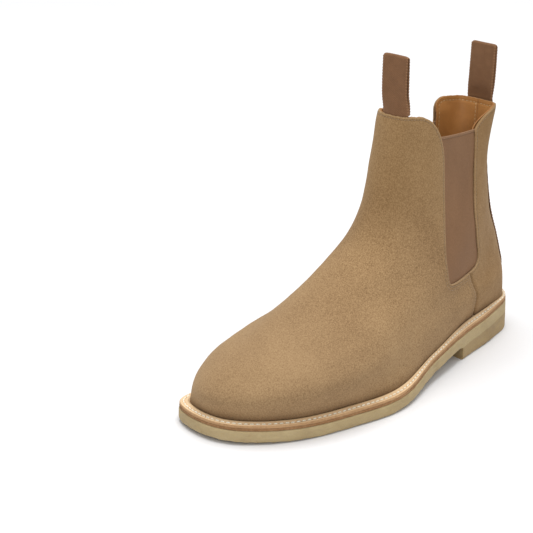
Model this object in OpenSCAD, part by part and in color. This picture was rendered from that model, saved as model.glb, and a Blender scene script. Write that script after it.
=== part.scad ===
// Chelsea boot, left foot: suede panels, elastic gores, leather lining,
// stitched welt, leather midsole and crepe sole, with two folding pull tabs.
// Millimetres. +X runs to the toe, +Y to the outer side, +Z up.

/* [Overall size] */
// Outsole length from heel to toe
sole_length = 302; // [250:1:340]
// Outsole width scale, 100 is a standard fitting
width_percent = 100; // [85:1:115]
// Height of the front topline above the ground
shaft_height = 188; // [150:1:230]
// How far the toe swings toward the inner side
toe_swing = 21; // [0:1:26]

/* [Sole] */
// Thickness of the crepe outsole
outsole_t = 8.6; // [5:0.1:14]
// Thickness of the leather midsole
midsole_t = 2; // [1.5:0.1:4]
// Thickness of the welt strip
welt_t = 2.2; // [1.6:0.1:4]
// Width of the welt shelf outside the upper
welt_shelf = 7.5; // [5:0.5:10]
// Height of the heel block at its front edge
heel_breast_h = 9.5; // [4:0.5:20]
// Height of the heel block at the back
heel_back_h = 13.5; // [6:0.5:25]
// Length of the heel block
heel_length = 84; // [60:1:95]
// Lift of the outsole at the toe
toe_spring = 2; // [0:0.5:8]
// Number of stitches round the welt
welt_stitches = 170; // [80:2:200]

/* [Upper] */
// Thickness of the suede
suede_t = 1.5; // [1:0.1:2]
// Thickness of the elastic and of the stiffeners
core_t = 1.2; // [0.8:0.1:1.6]
// Thickness of the lining leather
lining_t = 1; // [0.7:0.1:1.4]
// Gap left between two layers
layer_gap = 0.1; // [0.05:0.05:0.2]
// Length of hidden gore under each panel edge
gore_tuck = 7; // [4:0.5:10]
// Radius of the front panel's corners beside the gore
corner_r = 20; // [6:1:24]
// Radius of the inner rear corner beside the gore
rear_corner_r = 12; // [6:1:20]
// Length of the sloping rim of the outer rear panel
slope_length = 32; // [12:1:34]

/* [Pull tabs] */
// Width of the webbing
tab_width = 21; // [15:0.5:26]
// Height of the loops above the topline
tab_height = 42; // [25:1:55]
// Thickness of one layer of webbing
web_t = 0.9; // [0.6:0.1:1.5]
// Distance between the two layers of a loop
tab_gap = 1.4; // [0.6:0.1:4]

/* [Hidden] */

kx = sole_length / 302;
ky = width_percent / 100;
kz = shaft_height / 188;

// half widths of the outsole, heel to toe, at every 20 degrees of sweep
sole_lat = [21.5, 31.5, 35, 49, 61, 55, 44, 24.5];
sole_med = [22, 31.5, 32.5, 34, 42.5, 49, 45.5, 33];
// six level lines of the upper, low to high: back point, front point,
// then outer and inner half widths at every 30 degrees of sweep
ring_back = [[0.5, 1.1, 45.4], [2.8, 0.9, 58.4], [6.3, 0.6, 71.4],
             [15.5, -0.1, 98.9], [20.8, -1.3, 139.9], [17.3, -2.5, 172.4]];
ring_front = [[299, -18.7, 30.9], [283.5, -16, 45.4], [256, -12.1, 55.9],
              [204.8, -8.2, 75.4], [153, -4.1, 108.9], [128.9, 0.5, 187.8]];
ring_lat = [[22, 32.5, 46.5, 54.5, 36], [19, 30.7, 43.5, 49, 32.5], [16.5, 29.7, 39.5, 41.5, 26],
            [15, 28.6, 32, 30, 20], [15, 22.5, 25.5, 24, 15], [18.9, 20.8, 21.4, 21.5, 12.7]];
ring_med = [[20, 30, 36, 49, 34], [19, 29.5, 35.5, 44, 29], [18, 29, 33.5, 36.5, 21.5],
            [16, 27, 31, 27.5, 18.4], [14.5, 22.5, 26, 23.7, 15], [16.9, 21.7, 20.3, 20, 17.2]];
// how flat the topline is at its back and front ends
top_ends = [65, 41];
// levels where the panels are sampled, closer together round the gore ends
levels = [0.03, 0.2, 0.45, 0.75, 1.1, 1.5, 1.95, 2.35, 2.56, 2.66, 2.668, 2.7, 2.76, 2.86, 2.98, 3.1,
          3.25, 3.6, 4, 4.4, 4.8, 5.2, 5.5, 5.65, 5.74, 5.82, 5.88, 5.93, 5.965, 5.99, 6];
top = 6;
gore_low = 2.66;
gore_bend = 3.25;
front_bend = 5.5;
rear_bend = 5.78;
slope_start = 5.67;

mid_x = sole_length / 2;
mid_y = -4;
big = 400;
stack = outsole_t + midsole_t + welt_t;
d_core = suede_t + layer_gap;
d_lining = d_core + core_t + layer_gap;
d_inner = d_lining + lining_t;
// depths of the elastic, the stiffeners and every tucked edge
core_out = d_core + layer_gap;
core_in = d_core + core_t - layer_gap;

suede = "#a88a64";
webbing = "#85614a";
leather = "#9c6a34";
natural = "#cda578";
crepe = "#b8a67c";
thread = "#eee6d6";

// smooth curve through a list of values
function curve4(a, b, c, d, f) =
    0.5 * (2 * b + (c - a) * f + (2 * a - 5 * b + 4 * c - d) * f * f + (3 * b - a - 3 * c + d) * f * f * f);
function along(p, t) =
    let (n = len(p), i = min(max(floor(t), 0), n - 2))
    curve4(i > 0 ? p[i - 1] : 2 * p[0] - p[1], p[i], p[i + 1],
           i < n - 2 ? p[i + 2] : 2 * p[n - 1] - p[n - 2], t - i);

// turns half widths into values that are finite at both ends
function swell(w, other, step, ends = 0) =
    let (n = len(w), g = [for (i = [0 : n - 1]) w[i] / sin(step * (i + 1))],
         e = ends == 0 ? [w[0] + other[0], w[n - 1] + other[n - 1]] / 2 / sin(step) : ends)
    concat([e[0]], g, [e[1]]);
g_sole_lat = swell(sole_lat, sole_med, 20);
g_sole_med = swell(sole_med, sole_lat, 20);
g_lat = [for (i = [0 : 5]) swell(ring_lat[i], ring_med[i], 30, i == 5 ? top_ends : 0)];
g_med = [for (i = [0 : 5]) swell(ring_med[i], ring_lat[i], 30, i == 5 ? top_ends : 0)];

// the outer side draws in at the waist and beside the heel, and the welt narrows there
function bump(t, middle, width) =
    let (d = abs(t - middle)) exp(-pow(min(d, 360 - d) / width, 2));
function waist(t) = 5 * bump(t, 84, 15) + 3.7 * bump(t, 35, 17);
function slim(t) = 4 * bump(t, 80, 17) + 5 * bump(t, 27, 17);

// plan of the sole: 0 degrees at the heel, 90 outer side, 180 toe, 270 inner side
function plan(t) =
    let (a = t <= 180 ? t : 360 - t, x = (1 - cos(a)) / 2)
    [sole_length * x,
     ky * (sin(a) * (t <= 180 ? along(g_sole_lat, a / 20) : -along(g_sole_med, a / 20)) - waist(t))
     - toe_swing * x * x];
function wrap(t) = t < 0 ? t + 360 : (t >= 360 ? t - 360 : t);
function plan_in(t, d) =
    let (v = plan(wrap(t + 1)) - plan(wrap(t - 1)), n = [-v[1], v[0]] / norm(v),
         e = d - slim(wrap(t)) * min(d / welt_shelf, 1))
    plan(wrap(t)) - e * n;
function plan_loop(d, step = 4) = [for (t = [0 : step : 359]) plan_in(t, d)];

// underside of the outsole: flat at the ball, rising to the heel and at the toe
ball_back = 200 * kx;
ball_front = 240 * kx;
function ease(t) = let (c = min(max(t, 0), 1)) c * c * (3 - 2 * c);
function under(x) =
    x > ball_front ? toe_spring * pow((x - ball_front) / (sole_length - ball_front), 2)
    : x > ball_back ? 0
    : x > heel_length ? heel_breast_h * ease((ball_back - x) / (ball_back - heel_length))
    : heel_breast_h + (heel_back_h - heel_breast_h) * (heel_length - x) / heel_length;

// point of one level line, and of the smooth surface through all of them
function level_point(k, t) =
    let (a = t <= 180 ? t : 360 - t)
    k == 0
    ? let (p = plan_in(t, welt_shelf)) [p[0], p[1], under(p[0]) + stack]
    : let (q = (1 - cos(a)) / 2, b = ring_back[k - 1], f = ring_front[k - 1],
           y = sin(a) * (t <= 180 ? along(g_lat[k - 1], a / 30) : -along(g_med[k - 1], a / 30)))
      [kx * (b[0] + (f[0] - b[0]) * q),
       ky * (y + b[1] + (f[1] - b[1]) * q * q),
       kz * (b[2] + (f[2] - b[2]) * q)];
function skin(t0, v) =
    let (t = wrap(t0), i = min(max(floor(v), 0), top - 1), b = level_point(i, t), c = level_point(i + 1, t))
    curve4(i > 0 ? level_point(i - 1, t) : 2 * b - c, b, c,
           i < top - 1 ? level_point(i + 2, t) : 2 * c - b, v - i);
function skin_out(t, v) =
    let (w = min(v, top - 0.01), low = max(w - 0.01, 0),
         n = cross(skin(t + 1, w) - skin(t - 1, w), skin(t, w + 0.01) - skin(t, low)))
    -n / norm(n);
function clear_welt(p) = [p[0], p[1], max(p[2], under(p[0]) + stack + layer_gap)];
function layer(t, v, d) = clear_welt(skin(t, v) - d * skin_out(t, v));

// sweep angle at a given distance from the heel, on a given level
end_back = concat([welt_shelf], [for (p = ring_back) p[0]]);
end_front = concat([302 - welt_shelf], [for (p = ring_front) p[0]]);
function back_x(v) = kx * along(end_back, v);
function front_x(v) = kx * along(end_front, v);
function sweep_at(x, v) =
    let (q = min(max((kx * x - back_x(v)) / (front_x(v) - back_x(v)), 0.0005), 0.9995)) acos(1 - 2 * q);

// edge lines of the panels, as distances from the heel
function seam_x(v) = 62.5 + 1.5 * min(v, 1) + 5.1 * max(v - 1, 0);
function bow(t) = pow(1 - pow(min(max(t, 0), 1), 3), 1 / 3);
function round_off(v, low, r) = r * (1 - sqrt(max(0, 1 - pow(max(0, (v - low) / (top - low)), 2))));
// the outer rear panel slopes down to the gore, the inner one has a round corner
function rear_round(v, side) =
    side > 0 ? slope_length * pow(max(0, (v - slope_start) / (top - slope_start)), 1.6)
    : round_off(v, rear_bend, rear_corner_r);
gore_front_line = [103.5, 103, 99.5, 95.8, 94.6, 96];
gore_back_line = [56, 59.5, 60.5, 56.5, 53.8, 54];
function gore_step(v) = (max(v, gore_bend) - gore_bend) / (top - gore_bend) * 5;
function gore_front_x(v) = along(gore_front_line, gore_step(v));
function gore_back_x(v, side = 1) =
    along(gore_back_line, gore_step(v)) - (side < 0 ? 8 * ease((v - 4.6) / 1.2) : 0);
function front_edge(v) =
    v <= gore_low ? seam_x(v)
    : v < gore_bend ? 72.5 + (gore_front_x(v) - 72.5) * bow((gore_bend - v) / (gore_bend - gore_low))
    : gore_front_x(v) + round_off(v, front_bend, corner_r);
function rear_edge(v, side = 1) =
    v <= gore_low ? seam_x(v) - 0.3
    : v < gore_bend ? 72.2 - (72.2 - gore_back_x(v, side)) * bow((gore_bend - v) / (gore_bend - gore_low))
    : gore_back_x(v, side) - rear_round(v, side);

// closed shell between two matching grids of points
module shell(outer, inner) {
    r = len(outer);
    c = len(outer[0]);
    m = r * c;
    pts = concat([for (row = outer) for (p = row) p], [for (row = inner) for (p = row) p]);
    skin_faces = [for (i = [0 : r - 2]) for (j = [0 : c - 2])
        let (a = i * c + j, b = a + 1, d = a + c, e = d + 1)
        each [[a, b, e], [a, e, d], [m + a, m + e, m + b], [m + a, m + d, m + e]]];
    low_high = [for (j = [0 : c - 2])
        let (a = j, b = j + 1, d = (r - 1) * c + j, e = d + 1)
        each [[a, m + a, m + b], [a, m + b, b], [d, e, m + e], [d, m + e, m + d]]];
    sides = [for (i = [0 : r - 2])
        let (a = i * c, b = a + c, d = a + c - 1, e = d + c)
        each [[a, b, m + b], [a, m + b, m + a], [d, m + e, e], [d, m + d, m + e]]];
    polyhedron(points = pts, faces = concat(skin_faces, low_high, sides), convexity = 8);
}

// places a piece so the middle of the sole is over the origin
module placed() {
    translate([-mid_x, -mid_y, 0]) children();
}

// slab that follows the underside of the sole between two heights
stations = concat([-4, 30, 60, 82], [for (x = [88 : 7 : 193]) x], [200, 240],
                  [for (x = [248 : 8 : 296]) x], [307]);
module band(low, high) {
    pts = concat([for (x = stations) [kx * x, under(kx * x) + low]],
                 [for (i = [len(stations) - 1 : -1 : 0]) [kx * stations[i], under(kx * stations[i]) + high]]);
    rotate([90, 0, 0])
        linear_extrude(height = 2 * 90, center = true) polygon(pts);
}
module footprint(d) {
    linear_extrude(height = 60) polygon(plan_loop(d));
}
module sheet_part(d, low, high) {
    intersection() {
        footprint(d);
        band(low, high);
    }
}
module ring_part(d_out, d_in, low, high) {
    intersection() {
        linear_extrude(height = 60)
            difference() {
                polygon(plan_loop(d_out));
                polygon(plan_loop(d_in));
            }
        band(low, high);
    }
}

module outsole() {
    color(crepe) placed() sheet_part(0, 0, outsole_t);
}

module heel_block() {
    color(crepe) placed()
        difference() {
            intersection() {
                footprint(0.3);
                rotate([90, 0, 0])
                    linear_extrude(height = 180, center = true)
                        polygon([[-4, 0], [heel_length, 0],
                                 [heel_length, under(heel_length)], [-4, under(-4)]]);
            }
            translate([heel_length + 176, 0, -1]) cylinder(r = 180, h = 60, $fn = 200);
        }
}

module midsole() {
    color(natural) placed() sheet_part(0.5, outsole_t, outsole_t + midsole_t);
}

module welt() {
    color(natural) placed() {
        ring_part(0.8, welt_shelf + 3, outsole_t + midsole_t, stack);
        ring_part(5, welt_shelf - 0.9, stack - 0.5, stack + 1);
    }
}

// continuous thread in the welt groove with raised stitches on it
module welt_stitching() {
    color(thread) placed() {
        ring_part(3.2, 3.8, stack, stack + 0.25);
        intersection() {
            linear_extrude(height = 60)
                for (i = [0 : welt_stitches - 1]) {
                    s = 360 * i / welt_stitches;
                    // evens out the spacing between the ends and the sides
                    t = s - 22 * sin(2 * s) * 0.45;
                    p = plan_in(t, 3.5);
                    v = plan_in(wrap(t + 1), 3.5) - plan_in(wrap(t - 1), 3.5);
                    translate(p) rotate(atan2(v[1], v[0])) square([3.4, 0.9], center = true);
                }
            band(stack + 0.1, stack + 0.6);
        }
    }
}

module insole_rib() {
    color(natural) placed() ring_part(welt_shelf + 3.2, welt_shelf + 6.2, outsole_t + midsole_t, stack - 0.1);
}

module shank_space(grow) {
    intersection() {
        translate([58 * kx - grow, -8 - grow, 0]) cube([104 * kx + 2 * grow, 16 + 2 * grow, 60]);
        band(outsole_t + midsole_t + 0.5 - grow, outsole_t + midsole_t + 1.7 + 2 * grow);
    }
}
module shank() {
    color("#9a9da1") placed() shank_space(0);
}

module cork_filler() {
    color("#b98a5a") placed()
        difference() {
            sheet_part(welt_shelf + 6.4, outsole_t + midsole_t, stack - 0.1);
            shank_space(0.1);
        }
}

module insole() {
    color("#c9a27a") placed() sheet_part(welt_shelf + 6.3, stack, stack + 3);
}

module sock_liner() {
    color(leather) placed() sheet_part(welt_shelf + 7, stack + 3.05, stack + 4.05);
}

// panel running round the toe between its two edge lines
front_cols = 28;
rear_cols = 10;
module front_panel(d0, d1, j0, j1, i1) {
    cols = front_cols;
    rows = len(levels) - 1;
    grid = [for (d = [d0, d1]) [for (i = [0 : i1])
        let (v = levels[i], a = sweep_at(front_edge(v), v), even = levels[0] + (top - levels[0]) * i / rows)
        [for (j = [j0 : j1])
            // the levels spread out evenly away from the edges
            let (m = ease(2.6 * min(j, cols - j) / cols))
            layer(a + (360 - 2 * a) * j / cols, v + (even - v) * m, d)]]];
    shell(grid[0], grid[1]);
}

module vamp() {
    color(suede) placed() front_panel(0, suede_t, 0, front_cols, len(levels) - 1);
}

module vamp_lining() {
    color(leather) placed() front_panel(d_lining, d_inner, 0, front_cols, len(levels) - 1);
}

// stiffener between the suede and the lining of the toe
module toe_puff() {
    color("#d8cdb8") placed() front_panel(core_out, core_in, 8, 20, 12);
}

// rear panel from the back seam forward, with a stepped edge under the vamp
module rear_panel(side, d0, d1, cols, flange) {
    ext = flange > 0 ? 2 : 0;
    grid = [for (k = [0, 1]) [for (v = levels)
        let (a = sweep_at(rear_edge(v, side), v), b = sweep_at(rear_edge(v, side) + flange, v),
             on = flange > 0 && v < 2)
        [for (j = [0 : cols + ext])
            let (s = j <= cols ? 0.5 + (a - 0.5) * j / cols
                     : a + (on ? (b - a) * (j - cols - 0.96) / 1.04 : 0.02 * (j - cols)),
                 t = j <= cols ? s : max(s, a + 0.02 * (j - cols)),
                 d = (on && j > cols) ? (k == 0 ? core_out : core_in)
                     : (on && j == cols && k == 1) ? core_in - layer_gap
                     : (k == 0 ? d0 : d1))
            layer(side > 0 ? t : 360 - t, v, d)]]];
    if (side > 0) {
        shell(grid[0], grid[1]);
    } else {
        shell(grid[1], grid[0]);
    }
}

module quarter_lateral() {
    color(suede) placed() rear_panel(1, 0, suede_t, rear_cols, 6);
}

module quarter_medial() {
    color(suede) placed() rear_panel(-1, 0, suede_t, rear_cols, 6);
}

module quarter_lining_lateral() {
    color(leather) placed() rear_panel(1, d_lining, d_inner, rear_cols, 0);
}

module quarter_lining_medial() {
    color(leather) placed() rear_panel(-1, d_lining, d_inner, rear_cols, 0);
}

// elastic panel, tucked under the suede on three sides
gore_levels = [2.1, 2.15, 2.28, 2.48, 2.76, 3.05, 3.25, 3.6, 4, 4.4, 4.8, 5.2, 5.5, 5.69];
module gore(side) {
    grid = [for (k = [0, 1]) [for (v = gore_levels)
        let (u = bow((gore_bend - v) / (gore_bend - 2.08)),
             a = sweep_at(75 - (75 - gore_back_x(v, side) + gore_tuck) * u, v),
             b = sweep_at(75 + (gore_front_x(v) - 75 + gore_tuck) * u, v))
        [for (j = [0 : 9])
            // the top edge rises a little to the front, and is lower on the inner side
            let (t = a + (b - a) * j / 9,
                 w = v + (side > 0 ? 0.106 * j / 9 - 0.013 : -0.09) * ease((v - 5) / 0.69))
            layer(side > 0 ? t : 360 - t, w, k == 0 ? core_out : core_in)]]];
    if (side > 0) {
        shell(grid[0], grid[1]);
    } else {
        shell(grid[1], grid[0]);
    }
}

module gore_lateral() {
    color(webbing) placed() gore(1);
}

module gore_medial() {
    color(webbing) placed() gore(-1);
}

// stiffener round the heel, sampled like the quarters on both sides of it
module heel_counter() {
    grid = [for (d = [core_out, core_in]) [for (i = [0 : 6])
        let (v = levels[i], a = sweep_at(rear_edge(v), v))
        [for (j = [-8 : 9])
            let (n = j > 0 ? j - 1 : -j, s = 0.5 + (a - 0.5) * n / rear_cols)
            layer(wrap(j > 0 ? s : 360 - s), v, d)]]];
    color("#d8cdb8") placed() shell(grid[0], grid[1]);
}

// sweep angle at which a level line is a given distance to one side of its end
function strap_sweep(w, v, base) =
    let (a = 15, y0 = skin(base, v)[1],
         b = a * w / abs(skin(base + a, v)[1] - y0),
         c = b * w / abs(skin(base + b, v)[1] - y0)) c;

// webbing sewn down over the back seam, reaching just above the rim
strap_levels = [0.12, 0.4, 0.8, 1.2, 1.7, 2.3, 2.9, 3.4, 3.9, 4.4, 4.9, 5.3, 5.7, 6];
module back_strap() {
    w = tab_width / 2;
    grid = [for (d = [-layer_gap - web_t - 0.3, -2 * layer_gap])
        concat(
            [for (v = strap_levels)
                let (a = strap_sweep(w, v, 0))
                [for (j = [-5 : 5]) layer(wrap(a * j / 5 + 360), v, d)]],
            [let (a = strap_sweep(w, top, 0))
                [for (j = [-5 : 5]) layer(wrap(a * j / 5 + 360), top, d) + [0, 0, 0.3]]])];
    color(webbing) placed() shell(grid[0], grid[1]);
}

module front_tab_anchor() {
    w = tab_width / 2;
    grid = [for (d = [core_out, core_in])
        concat(
            [for (v = [5.55, 5.7, 5.85, 6])
                let (a = strap_sweep(w, v, 180))
                [for (j = [-5 : 5]) layer(180 + a * j / 5, v, d)]],
            [let (a = strap_sweep(w, top, 180))
                [for (j = [-5 : 5]) layer(180 + a * j / 5, top, d) + [0, 0, 0.3]]])];
    color(webbing) placed() shell(grid[0], grid[1]);
}

// one loop of webbing: pinched at its foot, open above, folded over at the top
neck_r = 0.65;
pivot_lift = 1.1;
module loop_profile(h) {
    r = tab_gap / 2 + web_t;
    open_at = 9;
    difference() {
        union() {
            circle(r = neck_r, $fn = 32);
            polygon([[-neck_r, 0], [neck_r, 0], [neck_r, 1.5], [r, open_at],
                     [r, h - r], [-r, h - r], [-r, open_at], [-neck_r, 1.5]]);
            translate([0, h - r]) circle(r = r, $fn = 48);
        }
        union() {
            polygon([[0, 3.5], [tab_gap / 2, open_at + 0.5], [tab_gap / 2, h - r],
                     [-tab_gap / 2, h - r], [-tab_gap / 2, open_at + 0.5]]);
            translate([0, h - r]) circle(r = tab_gap / 2, $fn = 32);
        }
    }
}
module loop(p, lean, h) {
    translate(p)
        rotate([90, 0, 0])
            rotate([0, 0, lean])
                linear_extrude(height = tab_width, center = true) loop_profile(h);
}
front_pivot = skin(180, top) - [d_core + core_t / 2, 0, -pivot_lift];
rear_pivot = skin(0, top) + [-layer_gap - (web_t + 0.3) / 2, 0, pivot_lift];

module front_pull_tab() {
    color(webbing) placed() loop(front_pivot, 2.9, tab_height - pivot_lift);
}

module rear_pull_tab() {
    color(webbing) placed() loop(rear_pivot, 4, tab_height - pivot_lift - 1);
}

outsole();
heel_block();
midsole();
welt();
welt_stitching();
insole_rib();
cork_filler();
shank();
insole();
sock_liner();
vamp();
quarter_lateral();
quarter_medial();
gore_lateral();
gore_medial();
vamp_lining();
quarter_lining_lateral();
quarter_lining_medial();
toe_puff();
heel_counter();
back_strap();
front_tab_anchor();
front_pull_tab();
rear_pull_tab();
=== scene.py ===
"""Visual model of a suede chelsea boot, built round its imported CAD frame."""

import math

import bmesh
import bpy
import numpy as np
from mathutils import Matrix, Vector
from mathutils.bvhtree import BVHTree
from mathutils.kdtree import KDTree


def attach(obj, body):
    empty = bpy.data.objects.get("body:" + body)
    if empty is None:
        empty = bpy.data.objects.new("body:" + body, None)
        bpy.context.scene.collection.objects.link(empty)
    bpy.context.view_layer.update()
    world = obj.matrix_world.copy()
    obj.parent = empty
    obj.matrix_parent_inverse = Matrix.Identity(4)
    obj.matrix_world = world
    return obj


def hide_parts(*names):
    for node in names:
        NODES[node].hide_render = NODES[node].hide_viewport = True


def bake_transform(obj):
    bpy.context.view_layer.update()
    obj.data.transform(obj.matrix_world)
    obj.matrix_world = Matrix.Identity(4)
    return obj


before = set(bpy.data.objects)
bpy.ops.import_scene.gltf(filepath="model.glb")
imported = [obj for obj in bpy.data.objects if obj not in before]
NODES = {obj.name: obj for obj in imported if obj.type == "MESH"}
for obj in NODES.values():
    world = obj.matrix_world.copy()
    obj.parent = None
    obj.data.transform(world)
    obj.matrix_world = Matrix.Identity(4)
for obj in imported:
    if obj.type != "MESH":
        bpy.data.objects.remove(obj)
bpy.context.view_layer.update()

# ---------------------------------------------------------------- shape of the boot
# The same surfaces as the CAD source, in millimetres from the back of the heel:
# x to the toe, y to the outer side, z up. place() turns them into the row frame.
LENGTH, SWING, SHELF, STACK, CREPE_T = 302.0, 21.0, 7.5, 12.8, 8.6
HEEL_LENGTH = 84.0
MIDDLE = np.array([151.0, -4.0, 0.0])
SOLE_OUT = [21.5, 31.5, 35, 49, 61, 55, 44, 24.5]
SOLE_IN = [22, 31.5, 32.5, 34, 42.5, 49, 45.5, 33]
BACK = [[0.5, 1.1, 45.4], [2.8, 0.9, 58.4], [6.3, 0.6, 71.4], [15.5, -0.1, 98.9], [20.8, -1.3, 139.9],
        [17.3, -2.5, 172.4]]
FRONT = [[299, -18.7, 30.9], [283.5, -16, 45.4], [256, -12.1, 55.9], [204.8, -8.2, 75.4],
         [153, -4.1, 108.9], [128.9, 0.5, 187.8]]
SIDE_OUT = [[22, 32.5, 46.5, 54.5, 36], [19, 30.7, 43.5, 49, 32.5], [16.5, 29.7, 39.5, 41.5, 26],
            [15, 28.6, 32, 30, 20], [15, 22.5, 25.5, 24, 15], [18.9, 20.8, 21.4, 21.5, 12.7]]
SIDE_IN = [[20, 30, 36, 49, 34], [19, 29.5, 35.5, 44, 29], [18, 29, 33.5, 36.5, 21.5],
           [16, 27, 31, 27.5, 18.4], [14.5, 22.5, 26, 23.7, 15], [16.9, 21.7, 20.3, 20, 17.2]]
TOP_ENDS = 65.0, 41.0
GORE_FRONT = [103.5, 103, 99.5, 95.8, 94.6, 96]
GORE_BACK = [56, 59.5, 60.5, 56.5, 53.8, 54]
TOP, GORE_LOW, GORE_BEND = 6.0, 2.66, 3.25
GORE_CURVE = 0.59
FRONT_BEND, FRONT_ROUND = 5.5, 20.0
SLOPE_START, SLOPE_LENGTH, REAR_BEND, REAR_ROUND = 5.67, 32.0, 5.78, 12.0
ARCH_END, TOE_START, ARCH_HEIGHT, HEEL_RISE = 200.0, 240.0, 9.5, 4.0


def sin(a):
    return np.sin(np.radians(a))


def cos(a):
    return np.cos(np.radians(a))


def ease(x):
    c = np.clip(x, 0.0, 1.0)
    return c * c * (3 - 2 * c)


def unit(v):
    return v / np.maximum(np.linalg.norm(v, axis=-1, keepdims=True), 1e-9)


def curve4(a, b, c, d, f):
    return 0.5 * (2 * b + (c - a) * f + (2 * a - 5 * b + 4 * c - d) * f ** 2
                  + (3 * b - a - 3 * c + d) * f ** 3)


def along(p, t):
    p, t = np.asarray(p, float), np.asarray(t, float)
    q = np.concatenate([[2 * p[0] - p[1]], p, [2 * p[-1] - p[-2]]])
    i = np.clip(np.floor(t).astype(int), 0, len(p) - 2)
    return curve4(q[i], q[i + 1], q[i + 2], q[i + 3], t - i)


def swell(w, other, step, ends=None):
    w, other = np.asarray(w, float), np.asarray(other, float)
    g = w / sin(step * np.arange(1, len(w) + 1))
    if ends is None:
        ends = (w + other)[[0, -1]] / 2 / math.sin(math.radians(step))
    return np.concatenate([[ends[0]], g, [ends[1]]])


G_SOLE = swell(SOLE_OUT, SOLE_IN, 20), swell(SOLE_IN, SOLE_OUT, 20)
G_RING = [(swell(a, b, 30), swell(b, a, 30)) for a, b in zip(SIDE_OUT[:5], SIDE_IN[:5])]
G_RING.append((swell(SIDE_OUT[5], SIDE_IN[5], 30, TOP_ENDS), swell(SIDE_IN[5], SIDE_OUT[5], 30, TOP_ENDS)))


def bump(t, middle, width):
    d = np.abs(t - middle)
    return np.exp(-(np.minimum(d, 360 - d) / width) ** 2)


def slim(t):
    """How much narrower the welt's shelf is at the waist and beside the heel, on the outer side."""
    return 4.0 * bump(t, 80, 17) + 5.0 * bump(t, 27, 17)


def plan(t):
    t = np.mod(np.asarray(t, float), 360.0)
    a = np.where(t <= 180, t, 360 - t)
    q = (1 - cos(a)) / 2
    side = np.where(t <= 180, along(G_SOLE[0], a / 20), -along(G_SOLE[1], a / 20))
    waist = 5.0 * bump(t, 84, 15) + 3.7 * bump(t, 35, 17)
    return np.stack([LENGTH * q, sin(a) * side - waist - SWING * q * q], -1)


def plan_out(t):
    v = plan(t + 1.0) - plan(t - 1.0)
    return unit(np.stack([-v[..., 1], v[..., 0]], -1))


def plan_in(t, d):
    t, d = np.asarray(t, float), np.asarray(d, float)
    d = d - slim(np.mod(t, 360.0)) * np.minimum(d / SHELF, 1)
    return plan(t) - d[..., None] * plan_out(t)


def under(x):
    """Height of the underside of the outsole."""
    x = np.asarray(x, float)
    toe = 2.0 * np.clip((x - TOE_START) / (LENGTH - TOE_START), 0, None) ** 2
    arch = ARCH_HEIGHT * ease((ARCH_END - x) / (ARCH_END - HEEL_LENGTH))
    heel = ARCH_HEIGHT + HEEL_RISE * (HEEL_LENGTH - x) / HEEL_LENGTH
    return np.where(x > ARCH_END, toe, np.where(x > HEEL_LENGTH, arch, heel))


def level(k, t):
    a = np.where(t <= 180, t, 360 - t)
    if k == 0:
        p = plan_in(t, np.full(t.shape, SHELF))
        return np.stack([p[..., 0], p[..., 1], under(p[..., 0]) + STACK], -1)
    b, f = BACK[k - 1], FRONT[k - 1]
    q = (1 - cos(a)) / 2
    side = np.where(t <= 180, along(G_RING[k - 1][0], a / 30), -along(G_RING[k - 1][1], a / 30))
    return np.stack([b[0] + (f[0] - b[0]) * q, sin(a) * side + b[1] + (f[1] - b[1]) * q * q,
                     b[2] + (f[2] - b[2]) * q], -1)


def skin(t, v):
    t, v = np.broadcast_arrays(np.asarray(t, float), np.asarray(v, float))
    shape = t.shape
    t, v = np.mod(t.ravel(), 360.0), v.ravel()
    lv = np.stack([level(k, t) for k in range(7)])
    q = np.concatenate([2 * lv[:1] - lv[1:2], lv, 2 * lv[6:] - lv[5:6]])
    i = np.clip(np.floor(v).astype(int), 0, 5)
    j = np.arange(len(t))
    p = curve4(q[i, j], q[i + 1, j], q[i + 2, j], q[i + 3, j], (v - i)[:, None])
    return p.reshape(shape + (3,))


def skin_out(t, v):
    w = np.minimum(v, TOP - 0.01)
    low = np.maximum(w - 0.01, 0)
    n = np.cross(skin(t + 1.0, w) - skin(t - 1.0, w), skin(t, w + 0.01) - skin(t, low))
    return -unit(n)


def layer(t, v, d):
    """Points a depth d under the outer surface, kept above the welt."""
    t, v = np.broadcast_arrays(np.asarray(t, float), np.asarray(v, float))
    p = skin(t, v) - np.asarray(d, float)[..., None] * skin_out(t, v)
    p[..., 2] = np.maximum(p[..., 2], under(p[..., 0]) + STACK + 0.1)
    return p


def sweep_at(x, v):
    b = along([SHELF] + [p[0] for p in BACK], v)
    f = along([LENGTH - SHELF] + [p[0] for p in FRONT], v)
    return np.degrees(np.arccos(1 - 2 * np.clip((x - b) / (f - b), 0.0005, 0.9995)))


def pace(t, v, step=0.5):
    """Millimetres per degree of sweep along a level line."""
    return np.linalg.norm(skin(t + step, v) - skin(t - step, v), axis=1) / (2 * step)


def run_along(path):
    """Length of a line up to each of its points."""
    return np.concatenate([[0], np.cumsum(np.linalg.norm(np.diff(path, axis=0), axis=1))])


def points_at(at, run, path):
    return np.stack([np.interp(at, run, path[:, k]) for k in range(3)], 1)


def seam_x(v):
    return 62.5 + 1.5 * np.minimum(v, 1) + 5.1 * np.maximum(v - 1, 0)


def bow(t):
    return (1 - np.clip(t, 0, 1) ** 3) ** (1 / 3)


def gore_x(line, v, side=1):
    x = along(line, (np.maximum(v, GORE_BEND) - GORE_BEND) / (TOP - GORE_BEND) * 5)
    return x - (8 * ease((v - 4.6) / 1.2) if side < 0 and line is GORE_BACK else 0)


def round_off(v, low, r):
    return r * (1 - np.sqrt(np.clip(1 - (np.clip(v - low, 0, None) / (TOP - low)) ** 2, 0, 1)))


def rear_round(v, side):
    """The outer rear panel is cut away to the gore in a long slope, the inner one in a round corner."""
    if side < 0:
        return round_off(v, REAR_BEND, REAR_ROUND)
    return SLOPE_LENGTH * (np.clip(v - SLOPE_START, 0, None) / 0.33) ** 1.6


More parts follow.
